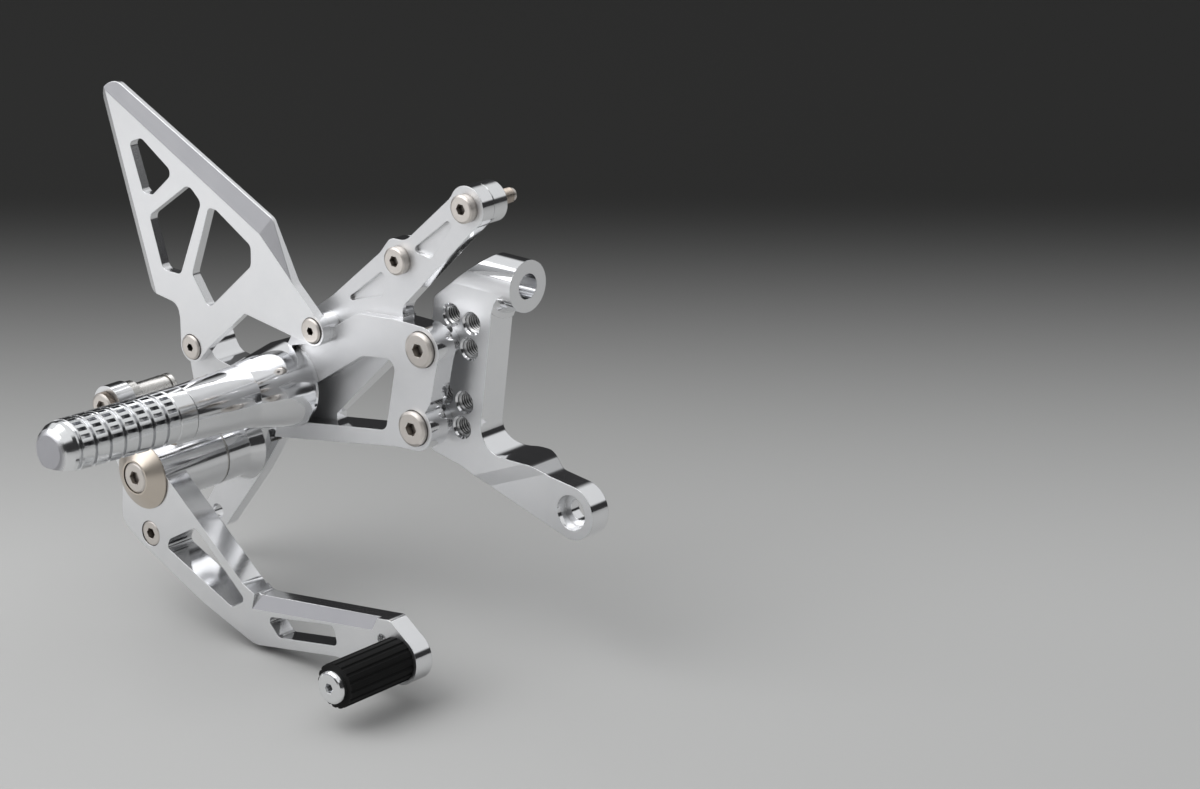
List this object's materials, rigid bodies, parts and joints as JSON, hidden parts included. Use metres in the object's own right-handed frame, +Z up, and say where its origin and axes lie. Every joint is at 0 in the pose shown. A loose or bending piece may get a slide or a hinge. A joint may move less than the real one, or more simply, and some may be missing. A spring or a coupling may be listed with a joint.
{
  "type": "rear set footrest",
  "caption": "Rear-set foot peg on a milled bracket, with a heel guard, an adjustable frame hanger and a brake pedal that turns on its pivot.",
  "frame": {"origin": "centre of the upper frame bore, on the front face of its lug", "axes": "+X forward along the upper bore, +Y inward to the motorcycle, +Z up"},
  "size_m": [0.2419, 0.1615, 0.1944],
  "materials": {
    "billet": "polished",
    "steel": "satin",
    "bronze": "satin",
    "rubber": "matte"
  },
  "bodies": {
    "bracket": {"frame_hanger": "billet", "bracket_bolts": "steel", "main_bracket": "billet", "footpeg": "billet", "peg_bolt": "steel", "heel_guard": "billet", "guard_bolts": "steel", "master_bolts": "steel", "master_collars": "billet", "pivot_sleeve": "steel", "thrust_washer": "bronze", "cone_washer": "steel", "pivot_bolt": "steel", "return_spring": "steel", "stop_pin": "steel"},
    "pedal": {"brake_pedal": "billet", "outer_bush": "bronze", "inner_bush": "bronze", "flush_screw": "steel", "pushrod_screw": "steel", "pushrod_pin": "steel", "toe_core": "steel", "toe_rubber": "rubber", "toe_screw": "billet"}
  },
  "joints": [
    {"name": "brake_pedal_pivot", "type": "hinge", "parent": "bracket", "child": "pedal", "pos_m": [-0.1326, -0.06, -0.0859], "axis": [0, 1, 0], "range_deg": [0, 14], "stiffness_Nm_per_rad": 1.6, "springref_deg": -20.05, "deforming": ["return_spring"]}
  ]
}
